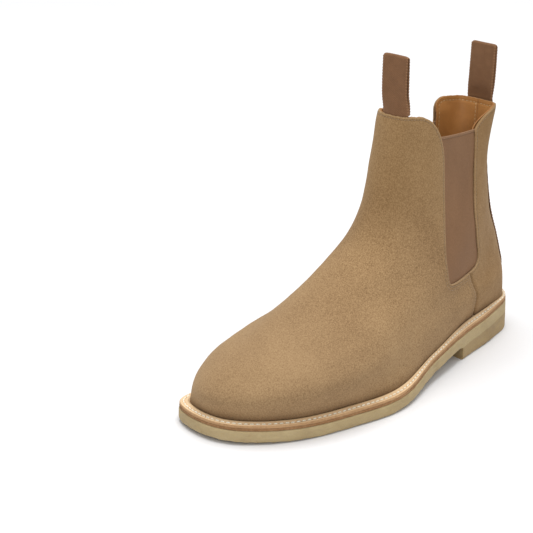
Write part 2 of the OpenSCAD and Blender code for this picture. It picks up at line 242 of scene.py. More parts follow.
def front_edge(v):
    low = bow((GORE_BEND - v) / (GORE_BEND - GORE_LOW))
    return np.where(v <= GORE_LOW, seam_x(v), np.where(
        v < GORE_BEND, 72.5 + (gore_x(GORE_FRONT, v) - 72.5) * low,
        gore_x(GORE_FRONT, v) + round_off(v, FRONT_BEND, FRONT_ROUND)))


def rear_edge(v, side=1):
    low = bow((GORE_BEND - v) / (GORE_BEND - GORE_LOW))
    return np.where(v <= GORE_LOW, seam_x(v) - 0.3, np.where(
        v < GORE_BEND, 72.2 - (72.2 - gore_x(GORE_BACK, v, side)) * low,
        gore_x(GORE_BACK, v, side) - rear_round(v, side)))


def ripple(p, size, seed):
    """Smooth seeded undulation from about -1 to 1, with features about size millimetres long."""
    rng = np.random.default_rng(seed)
    total = 0.0
    for _ in range(7):
        way = unit(rng.normal(size=3))
        total = total + np.sin((p @ way) * 2 * math.pi / size * rng.uniform(0.6, 1.5) + rng.uniform(0, 6.28))
    return total / 7 ** 0.5 / 1.4


# pitch, length and radius of the stitches, in millimetres, and where their rows lie
SEAM_STITCH, LINING_STITCH = (2.5, 1.75, 0.24), (2.8, 2.0, 0.27)
SEAM_INSET, LINING_INSET, SEAM_TOP = 1.7, 2.8, 76

# ---------------------------------------------------------------- mesh helpers
T_RING = np.arange(0, 360, 1.25)


def place(p):
    return (np.asarray(p, float) - MIDDLE) / 1000.0


def build(name, verts, faces, mats, index=None, uv=None, attrs=None, body="boot"):
    """Makes one piece from points in millimetres, with outward normals and smooth shading."""
    me = bpy.data.meshes.new(name)
    me.from_pydata([tuple(p) for p in place(verts)], [], [tuple(int(i) for i in f) for f in faces])
    bm = bmesh.new()
    bm.from_mesh(me)
    bmesh.ops.recalc_face_normals(bm, faces=bm.faces)
    bm.to_mesh(me)
    bm.free()
    for m in mats:
        me.materials.append(m)
    if index is not None:
        me.polygons.foreach_set("material_index", np.asarray(index, np.int32))
    me.polygons.foreach_set("use_smooth", np.ones(len(me.polygons), bool))
    if uv is not None:
        loops = np.zeros(len(me.loops), np.int32)
        me.loops.foreach_get("vertex_index", loops)
        me.uv_layers.new(name="UVMap").data.foreach_set("uv", np.asarray(uv, float)[loops].ravel())
    for key, values in (attrs or {}).items():
        values = np.asarray(values, np.float32).ravel()
        me.attributes.new(key, "FLOAT", "POINT").data.foreach_set("value", values)
    me.update()
    ob = bpy.data.objects.new(name, me)
    bpy.context.scene.collection.objects.link(ob)
    if body:
        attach(ob, body)
    return ob


def as_tuples(quads):
    return [tuple(q) for q in quads]


def strips(a, b):
    """Quads between two arrays of indices that lie side by side."""
    return as_tuples(np.stack([a[:, :-1], a[:, 1:], b[:, 1:], b[:, :-1]], -1).reshape(-1, 4))


def cap_faces(ids):
    """Quads of a filled face, with the triangles at its pinched ends."""
    out = []
    for i in range(ids.shape[0] - 1):
        for j in range(ids.shape[1] - 1):
            q = [ids[i, j], ids[i, j + 1], ids[i + 1, j + 1], ids[i + 1, j]]
            q = [x for k, x in enumerate(q) if x not in q[:k]]
            if len(q) > 2:
                out.append(tuple(q))
    return out


def between(a, b, w):
    return a * (1 - w[1:-1, None]) + b * w[1:-1, None]


def grid_loop(r, c):
    """Indices of the edge of an r by c grid, in order round it."""
    return np.array([j for j in range(c)] + [i * c + c - 1 for i in range(1, r)]
                    + [(r - 1) * c + j for j in range(c - 2, -1, -1)] + [i * c for i in range(r - 2, 0, -1)])


def grid_faces(r, c, flip=False):
    i, j = np.meshgrid(np.arange(r - 1), np.arange(c - 1), indexing="ij")
    a = (i * c + j).ravel()
    f = np.stack([a, a + 1, a + c + 1, a + c], 1)
    return f[:, ::-1] if flip else f


def edge_frames(points, loop, normals):
    """Outward direction within the surface at each point of a grid's edge."""
    r, c, _ = points.shape
    flat, n = points.reshape(-1, 3), normals.reshape(-1, 3)
    p = flat[loop]
    along_edge = unit(np.roll(p, -1, 0) - np.roll(p, 1, 0))
    i, j = np.clip(loop // c, 3, r - 4), np.clip(loop % c, 3, c - 4)
    out = unit(np.cross(along_edge, n[loop]))
    sign = np.sign(np.sum(out * (p - flat[i * c + j]), 1))
    sign = np.where(sign == 0, 1, sign)
    return out * sign[:, None]


def shell(name, outer, inner, normals, mats, rim, rim_mats, attrs):
    """Closed sheet between two grids of points, with a rounded rim."""
    r, c, _ = outer.shape
    m = r * c
    loop = grid_loop(r, c)
    out = edge_frames((outer + inner) / 2, loop, normals)
    po, pi = outer.reshape(-1, 3), inner.reshape(-1, 3)
    turns = [30, 70, 110, 150]
    rims = [po[loop] + (pi[loop] - po[loop]) * (1 - math.cos(math.radians(s))) / 2
            + out * rim * math.sin(math.radians(s)) for s in turns]
    verts = np.concatenate([po, pi] + rims)
    rings = [loop] + [2 * m + k * len(loop) + np.arange(len(loop)) for k in range(len(turns))] + [m + loop]
    faces = [grid_faces(r, c), m + grid_faces(r, c, True)]
    index = [np.zeros(len(faces[0])), np.full(len(faces[1]), len(mats) - 1)]
    for k in range(len(rings) - 1):
        a, b = rings[k], rings[k + 1]
        faces.append(np.stack([a, np.roll(a, -1), np.roll(b, -1), b], 1))
        index.append(np.full(len(loop), rim_mats[min(k, len(rim_mats) - 1)]))
    full = {}
    for key, values in attrs.items():
        flat = values.ravel()
        full[key] = np.concatenate([flat, flat] + [flat[loop]] * len(turns))
    return build(name, verts, np.concatenate(faces), mats, np.concatenate(index), None, full)


def sweep(name, sections, mats, closed=True, index=None, uv=None, attrs=None, body="boot"):
    """Closed rings of points joined one to the next, closed on itself or capped at its ends."""
    s, k, _ = sections.shape
    a = np.arange(s * k).reshape(s, k)
    b = np.roll(a, -1, 0) if closed else a[1:]
    a2 = a if closed else a[:-1]
    faces = as_tuples(np.stack([a2, np.roll(a2, -1, 1), np.roll(b, -1, 1), b], -1).reshape(-1, 4))
    idx = list(np.tile(index, len(a2)) if index is not None else np.zeros(len(faces)))
    if not closed:
        faces += [tuple(a[0][::-1]), tuple(a[-1])]
        idx += [idx[0], idx[0]]
    return build(name, sections.reshape(-1, 3), faces, mats, idx, uv, attrs, body)


def ring_sections(profile, t):
    """A side profile of (inset, height) at each sweep angle of the sole's outline."""
    pts = np.zeros((len(t), len(profile), 3))
    for k, (d, h) in enumerate(profile):
        q = plan_in(t, np.full(len(t), d))
        pts[:, k, :2] = q
        pts[:, k, 2] = under(q[:, 0]) + h
    return pts


def slab(name, profile, mat, wobble=None, cap_cols=14, top_fn=None):
    """Solid plate: a side profile run round the sole's outline, with both faces filled across."""
    n = len(T_RING)
    half = n // 2
    prof = np.asarray(profile, float)
    pts = ring_sections(prof, T_RING)
    if wobble is not None:
        pts = wobble(pts, prof)
    verts = [pts.reshape(-1, 3)]
    a = np.arange(n * len(prof)).reshape(n, len(prof))
    faces = strips(a, np.roll(a, -1, 0))
    count = n * len(prof)
    w = np.linspace(0, 1, cap_cols + 1)
    for k in (0, len(prof) - 1):
        ids = np.zeros((half + 1, cap_cols + 1), int)
        for i in range(half + 1):
            j = (n - i) % n
            ids[i, 0], ids[i, -1] = a[i, k], a[j, k]
            if i in (0, half):
                ids[i, :] = a[i, k]
                continue
            line = between(pts[i, k], pts[j, k], w)
            line[:, 2] = under(line[:, 0]) + prof[k][1]
            if top_fn is not None and k:
                line[:, 2] += top_fn(w[1:-1])
            verts.append(line)
            ids[i, 1:-1] = count + np.arange(cap_cols - 1)
            count += cap_cols - 1
        faces += cap_faces(ids)
    return build(name, np.concatenate(verts), faces, [mat])


def stitch_mesh(length, radius):
    """Points and faces of one stitch along x, with its ends turned down."""
    xs = np.array([-1, -0.86, -0.5, 0, 0.5, 0.86, 1]) * length / 2
    rs = np.array([0, 0.62, 0.96, 1, 0.96, 0.62, 0]) * radius
    pts, faces, seg = [], [], 7
    for x, r in zip(xs, rs):
        dip = -0.9 * radius * (2 * x / length) ** 4
        if r == 0:
            pts.append((x, 0, dip))
            continue
        turns = [6.2832 * k / seg for k in range(seg)]
        pts += [(x, r * math.cos(a), r * 0.85 * math.sin(a) + dip) for a in turns]
    for ring in range(4):
        s = 1 + ring * seg
        faces += [(s + k, s + (k + 1) % seg, s + seg + (k + 1) % seg, s + seg + k) for k in range(seg)]
    last = 1 + 5 * seg
    for k in range(seg):
        faces.append((0, 1 + (k + 1) % seg, 1 + k))
        faces.append((last, last - seg + k, last - seg + (k + 1) % seg))
    return np.array(pts), faces


def resample(path, step):
    """Points a fixed distance apart along a line, with the number made whole."""
    run = run_along(path)
    n = max(int(round(run[-1] / step)), 1)
    return points_at((np.arange(n) + 0.5) * run[-1] / n, run, path)


def sew(name, rows, sizes, mat, lift, seed):
    """One piece of many stitches. rows is a list of (line, tree of the surface, or its normal), and sizes
    the pitch, length and radius of a stitch."""
    pitch, length, radius = sizes
    base, base_faces = stitch_mesh(length, radius)
    rng = np.random.default_rng(seed)
    verts, faces = [], []
    for path, tree in rows:
        pts = resample(path, pitch)
        for p, w in zip(pts, unit(np.gradient(pts, axis=0))):
            n = tree
            if isinstance(tree, BVHTree):
                hit = tree.find_nearest(Vector(place(p)))
                p = np.array(hit[0]) * 1000 + MIDDLE
                n = np.array(hit[1])
            w = unit(w - n * np.dot(w, n))
            w = unit(w + np.cross(n, w) * rng.normal() * 0.035)
            side = np.cross(n, w)
            q = base * np.array([rng.uniform(0.93, 1.04), 1, 1])
            verts.append(p + n * radius * lift + q[:, :1] * w + q[:, 1:2] * side + q[:, 2:3] * n)
            off = len(faces) // len(base_faces) * len(base)
            faces += [tuple(i + off for i in f) for f in base_faces]
    return build(name, np.concatenate(verts), faces, [mat])


# ---------------------------------------------------------------- finishes
def rgb(r, g, b):
    """An sRGB colour out of 255 as linear values."""
    return tuple(((c / 255 + 0.055) / 1.055) ** 2.4 for c in (r, g, b)) + (1.0,)


class Finish:
    """A material with a few short ways to add its texture nodes."""

    def __init__(self, name, rough=0.6, spec=0.5):
        self.m = bpy.data.materials.new(name)
        self.m.use_nodes = True
        self.t = self.m.node_tree
        self.b = self.t.nodes["Principled BSDF"]
        self.set(**{"Roughness": rough, "Specular IOR Level": spec})
        self.normal = None

    def set(self, **values):
        for k, v in values.items():
            self.b.inputs[k].default_value = v

    def add(self, kind, **props):
        n = self.t.nodes.new(kind)
        for k, v in props.items():
            setattr(n, k, v)
        return n

    def put(self, node, key, value):
        if isinstance(value, bpy.types.NodeSocket):
            self.t.links.new(value, node.inputs[key])
        else:
            node.inputs[key].default_value = value

    def fill(self, node, **values):
        for k, v in values.items():
            self.put(node, k, v)

    def coord(self, kind="Object", scale=(1, 1, 1), turn=(0, 0, 0)):
        out = self.add("ShaderNodeTexCoord").outputs[kind]
        mp = self.add("ShaderNodeMapping")
        self.put(mp, "Vector", out)
        mp.inputs["Scale"].default_value = scale
        mp.inputs["Rotation"].default_value = turn
        return mp.outputs[0]

    def noise(self, vec, scale, detail=2.0, rough=0.5, bend=0.0):
        n = self.add("ShaderNodeTexNoise")
        self.fill(n, Vector=vec, Scale=scale, Detail=detail, Roughness=rough, Distortion=bend)
        return n.outputs[0]

    def cells(self, vec, scale):
        n = self.add("ShaderNodeTexVoronoi", feature="F1")
        self.fill(n, Vector=vec, Scale=scale)
        return n.outputs["Distance"]

    def wave(self, vec, scale, bend=0.0, way="X"):
        n = self.add("ShaderNodeTexWave", bands_direction=way)
        self.fill(n, Vector=vec, Scale=scale, Distortion=bend, Detail=1.0)
        return n.outputs[1]

    def axis(self, vec, way):
        n = self.add("ShaderNodeSeparateXYZ")
        self.put(n, 0, vec)
        return n.outputs[way]

    def attr(self, name):
        return self.add("ShaderNodeAttribute", attribute_name=name).outputs["Fac"]

    def calc(self, op, a, b=0.0, c=None):
        n = self.add("ShaderNodeMath", operation=op)
        self.put(n, 0, a)
        self.put(n, 1, b)
        if c is not None:
            self.put(n, 2, c)
        return n.outputs[0]

    def total(self, *parts):
        """Sum of (value, weight) pairs."""
        x = None
        for src, amount in parts:
            part = self.calc("MULTIPLY", src, amount)
            x = part if x is None else self.calc("ADD", x, part)
        return x

    def span(self, x, low, high, to_low=0.0, to_high=1.0):
        n = self.add("ShaderNodeMapRange", interpolation_type="SMOOTHSTEP")
        self.fill(n, **{"Value": x, "From Min": low, "From Max": high, "To Min": to_low, "To Max": to_high})
        return n.outputs[0]

    def ramp(self, x, *stops):
        n = self.add("ShaderNodeValToRGB")
        e = n.color_ramp.elements
        while len(e) < len(stops):
            e.new(0.5)
        for k, (pos, colour) in enumerate(stops):
            e[k].position, e[k].color = pos, colour
        self.put(n, 0, x)
        return n.outputs[0]

    def mix(self, fac, a, b):
        n = self.add("ShaderNodeMix", data_type="RGBA", blend_type="MIX")
        self.put(n, 0, fac)
        self.put(n, 6, a)
        self.put(n, 7, b)
        return n.outputs[2]

    def bump(self, height, strength, distance):
        n = self.add("ShaderNodeBump")
        self.fill(n, Height=height, Strength=strength, Distance=distance)
        if self.normal is not None:
            self.put(n, "Normal", self.normal)
        self.normal = n.outputs[0]

    def done(self, colour, rough=None):
        self.put(self.b, "Base Color", colour)
        if rough is not None:
            self.put(self.b, "Roughness", rough)
        if self.normal is not None:
            self.put(self.b, "Normal", self.normal)
        return self.m


def suede_finish(name, light, mid, dark, rim=False):
    f = Finish(name, 0.95, 0.25)
    f.set(**{"Sheen Weight": 0.16, "Sheen Roughness": 0.55, "Sheen Tint": rgb(225, 200, 165)})
    o = f.coord()
    fine = f.noise(o, 1100, 3.0, 0.6)
    grain = f.noise(o, 420, 2.0, 0.55, 0.3)
    blot = f.noise(o, 95, 3.0, 0.55, 0.8)
    patch = f.noise(f.coord(scale=(1, 1, 0.7)), 17, 2.0, 0.5, 0.4)
    nap = f.noise(f.coord(scale=(0.5, 0.5, 2.2), turn=(0.2, 0.5, 0.3)), 260, 2.0, 0.5)
    x = f.calc("MULTIPLY_ADD", fine, 1.40, -0.70)
    for src, amount in ((grain, 0.20), (blot, 0.08), (patch, 0.50), (nap, 0.12)):
        x = f.calc("ADD", x, f.calc("MULTIPLY_ADD", src, amount, -amount / 2))
    x = f.calc("ADD", x, 0.5)
    colour = f.ramp(x, (0.22, dark), (0.5, mid), (0.8, light))
    # painted shade: the heel end is painted darker and blotchy, for the shade on the rear of the boot
    heel_shade = f.span(f.axis(o, "X"), -0.112, -0.062, 0.62, 0.0)
    blotch = f.span(f.noise(o, 75, 4.0, 0.65, 0.5), 0.34, 0.66, 0.55, 1.0)
    colour = f.mix(f.calc("MULTIPLY", heel_shade, blotch), colour, rgb(116, 84, 47))
    # the shaft is a little deeper in tone, and the toe a little greyer
    colour = f.mix(f.span(f.axis(o, "Z"), 0.08, 0.15, 0.0, 0.30), colour, rgb(132, 101, 59))
    colour = f.mix(f.span(f.axis(o, "X"), 0.0, 0.10, 0.0, 0.25), colour, rgb(146, 121, 92))
    if not rim:
        edge = f.attr("edge_mm")
        colour = f.mix(f.span(edge, 0.1, 1.0, 0.35, 0.0), colour, rgb(172, 144, 108))
        # painted shade: the suede is darker along the sewn row, for the shade in its stitch groove
        sewn = f.calc("ABSOLUTE", f.calc("SUBTRACT", edge, SEAM_INSET))
        colour = f.mix(f.span(sewn, 0.15, 0.9, 0.30, 0.0), colour, rgb(98, 74, 50))
        # darker towards the welt: real grime there, with painted shade where the upper meets the welt
        colour = f.mix(f.span(f.attr("foot_mm"), 0.0, 9.0, 0.42, 0.0), colour, rgb(92, 68, 45))
    f.bump(fine, 0.35, 0.0004)
    f.bump(grain, 0.30, 0.0006)
    f.bump(blot, 0.18, 0.0010)
    return f.done(colour)


def elastic_finish(name):
    f = Finish(name, 0.82, 0.3)
    f.set(**{"Sheen Weight": 0.18, "Sheen Roughness": 0.5, "Sheen Tint": rgb(200, 165, 135)})
    o = f.coord()
    rib = f.wave(o, 290, 0.25, "X")
    pick = f.wave(o, 520, 0.4, "Z")
    fuzz = f.noise(o, 900, 3.0, 0.6)
    blot = f.noise(f.coord(scale=(1, 1, 0.35)), 60, 2.0)
    x = f.calc("MULTIPLY_ADD", f.calc("MULTIPLY", rib, pick), 0.35, 0.12)
    for src, amount in ((fuzz, 0.45), (blot, 0.30)):
        x = f.calc("ADD", x, f.calc("MULTIPLY", src, amount))
    colour = f.ramp(x, (0.25, rgb(101, 72, 47)), (0.55, rgb(120, 87, 59)), (0.9, rgb(137, 103, 72)))
    hem = f.attr("hem_mm")
    colour = f.mix(f.span(hem, 1.3, 1.8, 0.35, 0.0), colour, rgb(138, 108, 82))
    line = f.calc("ABSOLUTE", f.calc("SUBTRACT", hem, 1.8))
    colour = f.mix(f.span(line, 0.1, 0.5, 0.4, 0.0), colour, rgb(80, 57, 41))
    f.bump(rib, 0.45, 0.0003)
    f.bump(pick, 0.25, 0.0002)
    f.bump(fuzz, 0.2, 0.0003)
    return f.done(colour)


def webbing_finish(name, light, dark):
    f = Finish(name, 0.8, 0.3)
    f.set(**{"Sheen Weight": 0.2, "Sheen Roughness": 0.5, "Sheen Tint": rgb(190, 150, 120)})
    twill = f.wave(f.coord("UV", (1, 1, 1), (0, 0, math.radians(38))), 0.32, 0.2, "X")
    warp = f.wave(f.coord("UV"), 0.62, 0.2, "X")
    weft = f.wave(f.coord("UV"), 0.5, 0.3, "Y")
    fuzz = f.noise(f.coord("UV"), 1.6, 3.0, 0.6)
    cloud = f.noise(f.coord("UV"), 0.16, 2.0)
    x = f.total((twill, 0.16), (warp, 0.10), (weft, 0.08), (fuzz, 0.40), (cloud, 0.34))
    colour = f.ramp(x, (0.3, dark), (0.75, light))
    side = f.attr("side_mm")
    colour = f.mix(f.span(side, 0.15, 0.9, 0.25, 0.0), colour, rgb(140, 103, 74))
    pick = f.wave(f.coord("UV"), 0.1515, 0.0, "Y")
    dots = f.calc("MULTIPLY", f.span(pick, 0.55, 0.8), f.span(side, 0.9, 1.3, 1.0, 0.0))
    colour = f.mix(f.calc("MULTIPLY", dots, 0.3), colour, rgb(168, 126, 90))
    f.bump(twill, 0.35, 0.0002)
    f.bump(warp, 0.3, 0.0002)
    f.bump(fuzz, 0.25, 0.0003)
    return f.done(colour)


def leather_finish(name, light, mid, dark, rough, pores):
    f = Finish(name, rough, 0.5)
    o = f.coord()
    cloud = f.noise(o, 22, 3.0, 0.5, 0.5)
    blot = f.noise(o, 110, 3.0, 0.6, 0.4)
    pore = f.cells(f.coord(), 1500)
    crease = f.noise(f.coord(scale=(1, 1, 0.4)), 240, 2.0, 0.5, 1.2)
    colour = f.ramp(f.total((cloud, 0.6), (blot, 0.4)), (0.3, dark), (0.5, mid), (0.72, light))
    f.bump(pore, pores, 0.0002)
    f.bump(crease, 0.15, 0.0005)
    return f.done(colour, f.span(blot, 0.3, 0.7, rough - 0.06, rough + 0.08))


def edge_finish(name, light, mid, dark, layers):
    """Cut leather edge: fibres in layers along the edge, rough and uneven."""
    f = Finish(name, 0.78, 0.3)
    fibre = f.noise(f.coord(scale=(0.35, 0.35, 4.5)), 330, 4.0, 0.65, 0.4)
    speck = f.noise(f.coord(), 520, 3.0, 0.6)
    cloud = f.noise(f.coord(), 50, 2.0)
    x = f.total((fibre, 0.26), (speck, 0.46), (cloud, 0.28))
    colour = f.ramp(x, (0.30, dark), (0.5, mid), (0.70, light))
    f.bump(fibre, layers, 0.0007)
    f.bump(speck, 0.4, 0.0005)
    return f.done(colour)


def crepe_finish(name, light, mid, dark):
    f = Finish(name, 0.72, 0.35)
    f.set(**{"Subsurface Weight": 0.12, "Subsurface Radius": (0.004, 0.003, 0.0015), "Subsurface Scale": 1.0})
    o = f.coord()
    cloud = f.noise(o, 26, 3.0, 0.55, 0.8)
    milk = f.noise(f.coord(scale=(0.6, 0.6, 1.6)), 150, 4.0, 0.6, 1.0)
    speck = f.cells(f.coord(), 520)
    crinkle = f.noise(o, 480, 4.0, 0.65, 1.4)
    x = f.total((cloud, 0.45), (milk, 0.40), (crinkle, 0.18))
    colour = f.ramp(x, (0.34, dark), (0.52, mid), (0.7, light))
    colour = f.mix(f.span(speck, 0.05, 0.16, 0.35, 0.0), colour, rgb(126, 104, 66))
    f.bump(crinkle, 0.5, 0.0006)
    f.bump(milk, 0.35, 0.0012)
    return f.done(colour, f.span(milk, 0.35, 0.65, 0.62, 0.82))


def thread_finish(name, light, dark):
    f = Finish(name, 0.7, 0.35)
    f.set(**{"Sheen Weight": 0.15})
    ply = f.wave(f.coord(turn=(0.6, 0.7, 0.8)), 700, 0.6, "DIAGONAL")
    dirt = f.noise(f.coord(), 160, 3.0, 0.6)
    colour = f.ramp(f.total((ply, 0.4), (dirt, 0.6)), (0.25, dark), (0.65, light))
    f.bump(ply, 0.6, 0.0002)
    return f.done(colour)


SUEDE = suede_finish("suede", rgb(163, 134, 96), rgb(143, 114, 79), rgb(116, 88, 57))
SUEDE_RIM = suede_finish("suede_cut_edge", rgb(178, 152, 118), rgb(158, 131, 98), rgb(132, 105, 76), rim=True)
ELASTIC = elastic_finish("woven_elastic")
WEBBING = webbing_finish("tab_webbing", rgb(128, 91, 61), rgb(99, 68, 43))
LINING = leather_finish("lining_calf", rgb(182, 127, 66), rgb(168, 114, 56), rgb(150, 99, 47), 0.62, 0.2)
LINING_RIM = edge_finish("lining_cut_edge", rgb(170, 120, 72), rgb(148, 102, 58), rgb(120, 80, 44), 0.4)
WELT = leather_finish("welt_leather", rgb(232, 203, 162), rgb(220, 188, 146), rgb(200, 167, 127), 0.5, 0.3)
WELT_EDGE = edge_finish("welt_edge", rgb(192, 156, 116), rgb(176, 138, 98), rgb(150, 113, 76), 0.3)
MIDSOLE_EDGE = edge_finish("midsole_edge", rgb(172, 136, 98), rgb(150, 112, 74), rgb(116, 82, 52), 0.9)
CREPE = crepe_finish("crepe_sole", rgb(184, 165, 126), rgb(171, 151, 112), rgb(154, 133, 96))
HEEL_CREPE = crepe_finish("crepe_heel_block", rgb(170, 147, 108), rgb(156, 133, 94), rgb(138, 115, 78))
SEAM_THREAD = thread_finish("upper_thread", rgb(150, 126, 96), rgb(112, 90, 64))
LINING_THREAD = thread_finish("lining_thread", rgb(208, 178, 130), rgb(160, 124, 80))
WEB_THREAD = thread_finish("webbing_thread", rgb(150, 114, 86), rgb(110, 80, 58))
WELT_THREAD = thread_finish("welt_thread", rgb(248, 242, 226), rgb(224, 212, 186))
CORK = leather_finish("cork_fill", rgb(196, 160, 112), rgb(170, 130, 84), rgb(120, 84, 50), 0.85, 0.8)
CANVAS = edge_finish("rib_canvas", rgb(214, 206, 184), rgb(196, 186, 160), rgb(164, 152, 124), 0.6)
BOARD = leather_finish("insole_leather", rgb(208, 174, 130), rgb(190, 154, 110), rgb(164, 128, 86), 0.6, 0.4)
STIFF = edge_finish("stiffener_sheet", rgb(222, 212, 190), rgb(206, 194, 170), rgb(180, 166, 140), 0.4)


def steel_finish(name):
    f = Finish(name, 0.35, 0.5)
    f.set(**{"Metallic": 1.0})
    brush = f.noise(f.coord(scale=(0.1, 3, 3)), 900, 3.0, 0.6)
    stain = f.noise(f.coord(), 60, 3.0)
    colour = f.ramp(f.total((brush, 0.5), (stain, 0.5)), (0.3, rgb(130, 130, 134)), (0.7, rgb(190, 192, 196)))
    f.bump(brush, 0.2, 0.0001)
    return f.done(colour, f.span(stain, 0.3, 0.7, 0.28, 0.48))


STEEL = steel_finish("shank_steel")
for node, m in (("insole", BOARD), ("insole_rib", CANVAS), ("cork_filler", CORK), ("shank", STEEL),
                ("toe_puff", STIFF), ("heel_counter", STIFF)):
    NODES[node].data.materials.clear()
    NODES[node].data.materials.append(m)

# ---------------------------------------------------------------- upper: suede panels
NEAR = np.array([0, 0.5, 1.0, 1.5, 2.0, 2.5, 3.1, 3.9, 5.0])
ROWS = np.concatenate([np.linspace(0.0, 2.48, 34), np.linspace(2.5, 2.655, 9),
                       GORE_BEND - GORE_CURVE * cos(np.linspace(4, 90, 22)) ** (2 / 3),
                       np.linspace(3.3, 5.48, 36), FRONT_BEND + 0.5 * sin(np.linspace(0, 90, 30))])
EVEN = np.concatenate([np.linspace(0, 5.9, len(ROWS) - 13)[:-1], np.linspace(5.9, 6, 14)])


def front_grid(mid_cols):
    """Sweep and level of the front panel's points, close together near its edges."""
    a = sweep_at(front_edge(ROWS), ROWS)
    near = a[:, None] + NEAR[None] / pace(a, ROWS)[:, None]
    far = 360 - near[:, ::-1]
    s = np.linspace(0, 1, mid_cols + 2)[1:-1]
    t = np.concatenate([near, near[:, -1:] + (far[:, :1] - near[:, -1:]) * s, far], 1)
    share = (t - a[:, None]) / (360 - 2 * a[:, None])
    m = ease(2.6 * np.minimum(share, 1 - share) - 0.04)
    return t, ROWS[:, None] + (EVEN - ROWS)[:, None] * m


def rear_grid(side, mid_cols, lap=False):
    """The same for a rear panel, with a strip under the front panel's seam if lap is set."""
    a = sweep_at(rear_edge(ROWS, side), ROWS)
    mm = pace(a, ROWS)[:, None]
    near = a[:, None] - NEAR[None, ::-1] / mm
    start = 0.25
    s = np.linspace(0, 1, mid_cols + 1)[:-1]
    t = np.concatenate([start + (near[:, :1] - start) * s, near], 1)
    if lap:
        grow = ease((2.62 - ROWS) / 0.12)[:, None]
        under_lap = np.array([[0.8, 2.5, 5.0]]) * grow + np.array([[0.02, 0.04, 0.06]])
        t = np.concatenate([t, a[:, None] + under_lap / mm], 1)
    return (t if side > 0 else 360 - t), np.repeat(ROWS[:, None], t.shape[1], 1)


def edge_distance(points, line):
    tree = KDTree(len(line))
    for i, p in enumerate(line):
        tree.insert(p, i)
    tree.balance()
    flat = points.reshape(-1, 3)
    return np.array([tree.find(p)[2] for p in flat]).reshape(points.shape[:-1])


def dense(line, step=0.4):
    return resample(np.asarray(line), step)


def topline_wave(t, v):
    """Small puckers along the sewn topline."""
    return ease((v - 5.9) / 0.1) * (0.0016 * np.sin(t * 0.55 + 1) + 0.0014 * np.sin(t * 1.31))


def suede_depth(p, edge, seed):
    """How far the suede's face sinks: rolled edges, the sewn groove and soft unevenness."""
    d = 0.38 * np.exp(-(edge / 0.8) ** 2) + 0.20 * np.exp(-((edge - SEAM_INSET) / 0.55) ** 2)
    return d + ease(edge / 8) * (0.30 * ripple(p, 46, seed) + 0.12 * ripple(p, 17, seed + 1))


def suede_panel(name, t, v, line, seed, extra, thick=1.5):
    v = v + topline_wave(t, v)
    base, n = layer(t, v, np.zeros(t.shape)), skin_out(t, v)
    edge = edge_distance(base, dense(line(base)))
    d = suede_depth(base, edge, seed) + extra(base, t, v, edge)
    outer = layer(t, v, d)
    inner = layer(t, v, np.maximum(d, 0) * 0.3 + thick + np.where(d > 1, d - 0.3, 0))
    foot = outer[..., 2] - under(outer[..., 0]) - STACK
    ob = shell(name, outer, inner, n, [SUEDE, SUEDE_RIM, SUEDE_RIM], 0.22, (0, 1, 1, 1, 1),
               {"edge_mm": edge, "foot_mm": foot})
    return ob, outer


def vamp_lines(p):
    return np.concatenate([p[:, 0], p[-1], p[::-1, -1]])


def crease(base, t, v, edge):
    """Soft folds where the front of the ankle bends, and the second sewn row of the side seam."""
    low = ease((2.6 - v) / 0.1) * 0.2 * np.exp(-((edge - 4.3) / 0.6) ** 2)
    front = np.exp(-((t - 180) / 55) ** 2)
    upper = 0.45 * np.exp(-((v - 4.35 + 0.12 * sin(t * 2)) / 0.13) ** 2)
    return low + front * (upper + 0.35 * np.exp(-((v - 4.05) / 0.12) ** 2))


vamp, vamp_face = suede_panel("vamp_suede", *front_grid(104), vamp_lines, 11, crease)
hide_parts("vamp")


def tuck(base, t, v, edge):
    """Below the gore, a rear panel's front strip goes down under the front panel's edge."""
    ahead = base[..., 0] - base[:, -4, None, 0]
    return ease((2.64 - v) / 0.08) * 1.7 * ease((ahead + 4.2) / 4.4)


def quarter_lines(p):
    return np.concatenate([p[:, -4], p[-1, ::-1]])


def quarter(side, name, node, seed):
    ob, face = suede_panel(name, *rear_grid(side, 44, True), quarter_lines, seed, tuck)
    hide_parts(node)
    return face


quarter_out = quarter(1, "quarter_lateral_suede", "quarter_lateral", 21)
quarter_in = quarter(-1, "quarter_medial_suede", "quarter_medial", 31)


# ---------------------------------------------------------------- lining
def lining_depth(t, v, p, front):
    """The lining lies behind the gores and stiffeners and close to the suede elsewhere and at the rim."""
    x, y = p[..., 0], p[..., 1]
    beside = ease((122 - x) / 16) if front else ease((x - 26) / 16)
    core = np.maximum(beside, ease((2.9 - v) / 0.5))
    d = 1.62 + 1.33 * core * (1 - ease((v - 5.70) / 0.24))
    if front:
        tab = ease((12.6 - np.abs(y - 0.3)) / 2.2) * ease((v - 5.4) / 0.2)
        d = d + tab * np.maximum(3.02 - d, 0)
    return d


def lining_panel(name, node, t, v, line, front, seed):
    v = v + topline_wave(t, v)
    base = layer(t, v, np.zeros(t.shape))
    edge = edge_distance(base, dense(line(base)))
    d = lining_depth(t, v, base, front)
    soft = ease(edge / 6) * (0.25 * ripple(base, 38, seed) + 0.1 * ripple(base, 14, seed + 1))
    outer = layer(t, v, d)
    inner = layer(t, v, d + 1.0 + soft * 0.6 - 0.22 * np.exp(-((edge - 3.0) / 0.6) ** 2))
    ob = shell(name, outer, inner, skin_out(t, v), [LINING, LINING_RIM, LINING], 0.3, (1,), {"edge_mm": edge})
    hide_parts(node)
    return inner


def rear_lines(p):
    return np.concatenate([p[:, -1], p[-1, ::-1]])


lining_front = lining_panel("vamp_lining_leather", "vamp_lining", *front_grid(56), vamp_lines, True, 41)
lining_out = lining_panel("quarter_lining_lateral_leather", "quarter_lining_lateral", *rear_grid(1, 26), rear_lines,
                          False, 51)
lining_in = lining_panel("quarter_lining_medial_leather", "quarter_lining_medial", *rear_grid(-1, 26), rear_lines,
                         False, 61)


